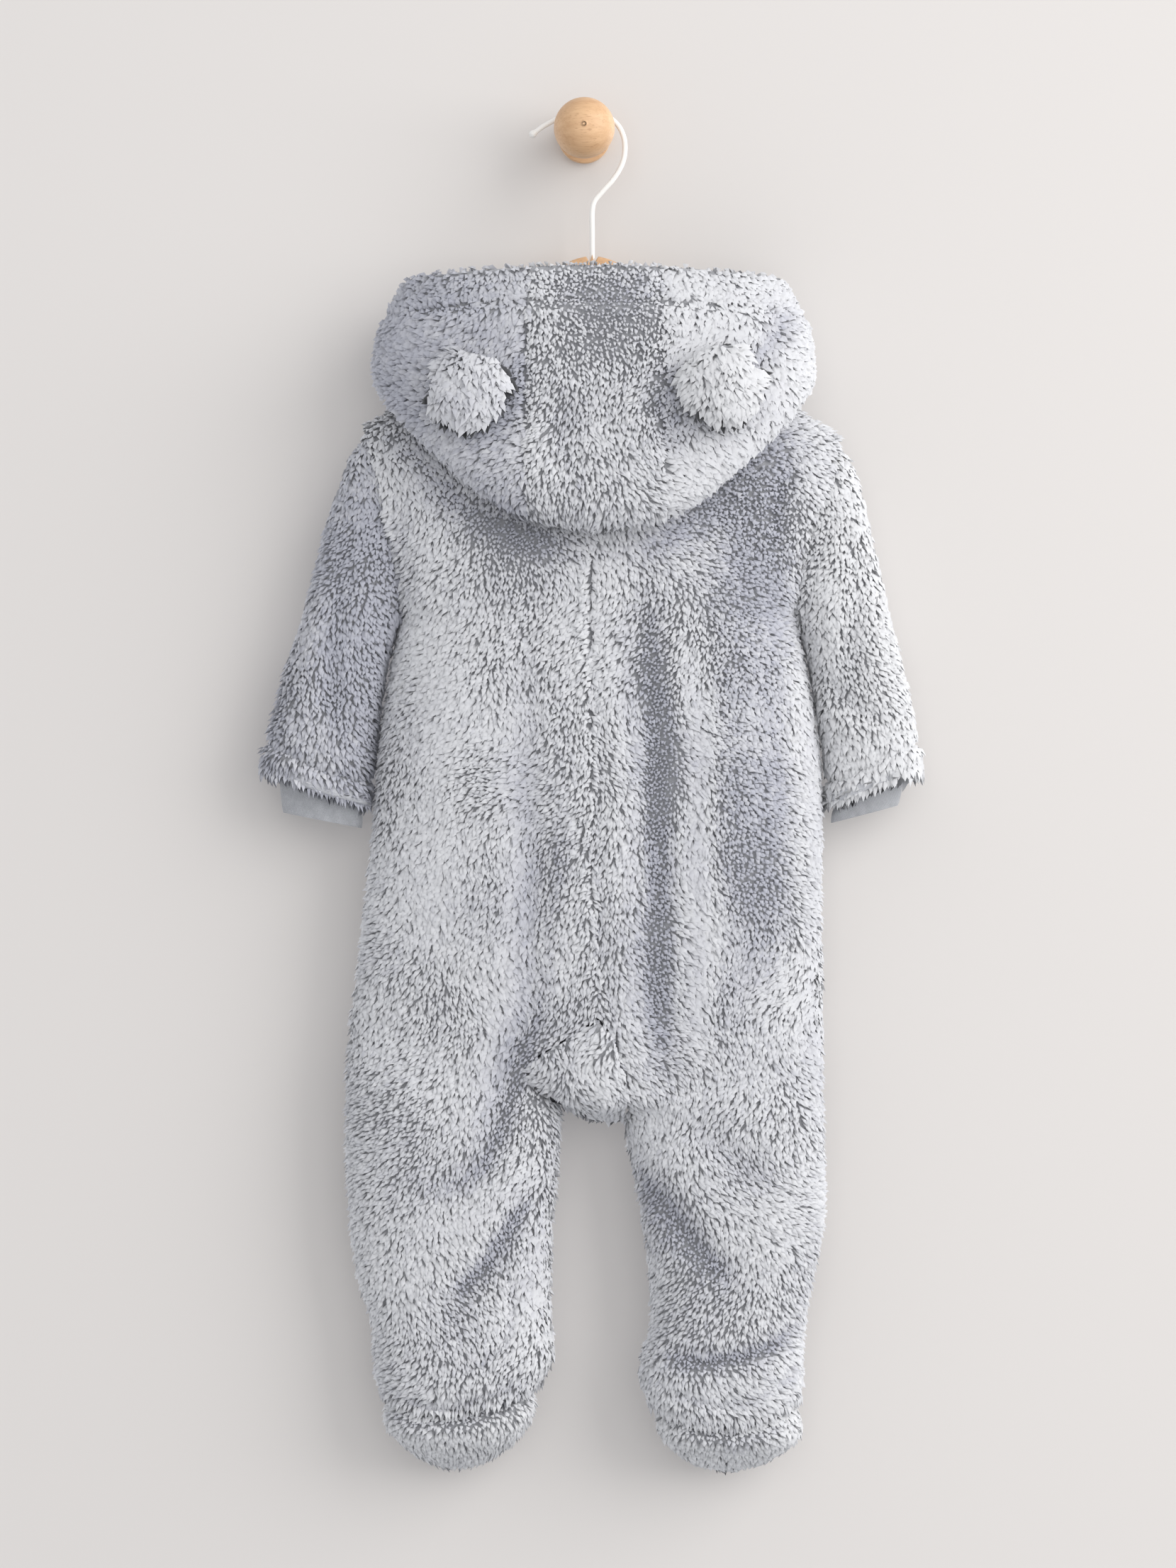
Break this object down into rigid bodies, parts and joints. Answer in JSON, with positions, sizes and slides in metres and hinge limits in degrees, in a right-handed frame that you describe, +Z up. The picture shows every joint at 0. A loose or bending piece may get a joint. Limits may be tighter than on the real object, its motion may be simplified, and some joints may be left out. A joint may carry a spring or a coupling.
{
  "type": "fleece bunting suit on a hanger and wall peg",
  "caption": "Plush fleece baby bunting suit with feet, cuffs and an eared hood, hung by its hanger from a turned wall peg.",
  "frame": {"origin": "centre of the wall peg's flat back face, which lies on the wall", "axes": "+Z is up, +Y points into the wall, and -Y points out into the room, the way the back of the suit faces"},
  "size_m": [0.38, 0.0994, 0.7903],
  "materials": {
    "plush": "tufted plush fleece, blue-grey",
    "jersey": "fine rib jersey, mid grey",
    "zip_tape": "woven polyester tape",
    "zip_chain": "moulded coil",
    "zip_metal": "nickel plated",
    "hook_enamel": "off-white enamel, satin",
    "beech": "turned pale beech, oiled"
  },
  "bodies": {
    "suit": {"back_left": "plush", "back_right": "plush", "front_left": "plush", "front_right": "plush", "crotch_gusset": "plush", "foot_sole_left": "plush", "foot_sole_right": "plush", "foot_upper_left": "plush", "foot_upper_right": "plush", "sleeve_left": "plush", "sleeve_right": "plush", "cuff_left": "jersey", "cuff_right": "jersey", "hood_centre": "plush", "hood_side_left": "plush", "hood_side_right": "plush", "hood_band_centre": "plush", "hood_band_left": "plush", "hood_band_right": "plush", "ear_left_outer": "plush", "ear_left_under": "plush", "ear_right_outer": "plush", "ear_right_under": "plush", "zip_tape_left": "zip_tape", "zip_tape_right": "zip_tape", "zip_chain": "zip_chain", "zip_slider": "zip_metal", "hanger_hook": "hook_enamel", "hanger_body": "beech", "wall_peg": "beech"},
    "pull": {"zip_pull": "zip_metal"}
  },
  "joints": [
    {"name": "zip_pull_hinge", "type": "hinge", "parent": "suit", "child": "pull", "pos_m": [0.004, -0.0095, -0.181], "axis": [1, 0, 0], "range_deg": [0, 160]}
  ]
}
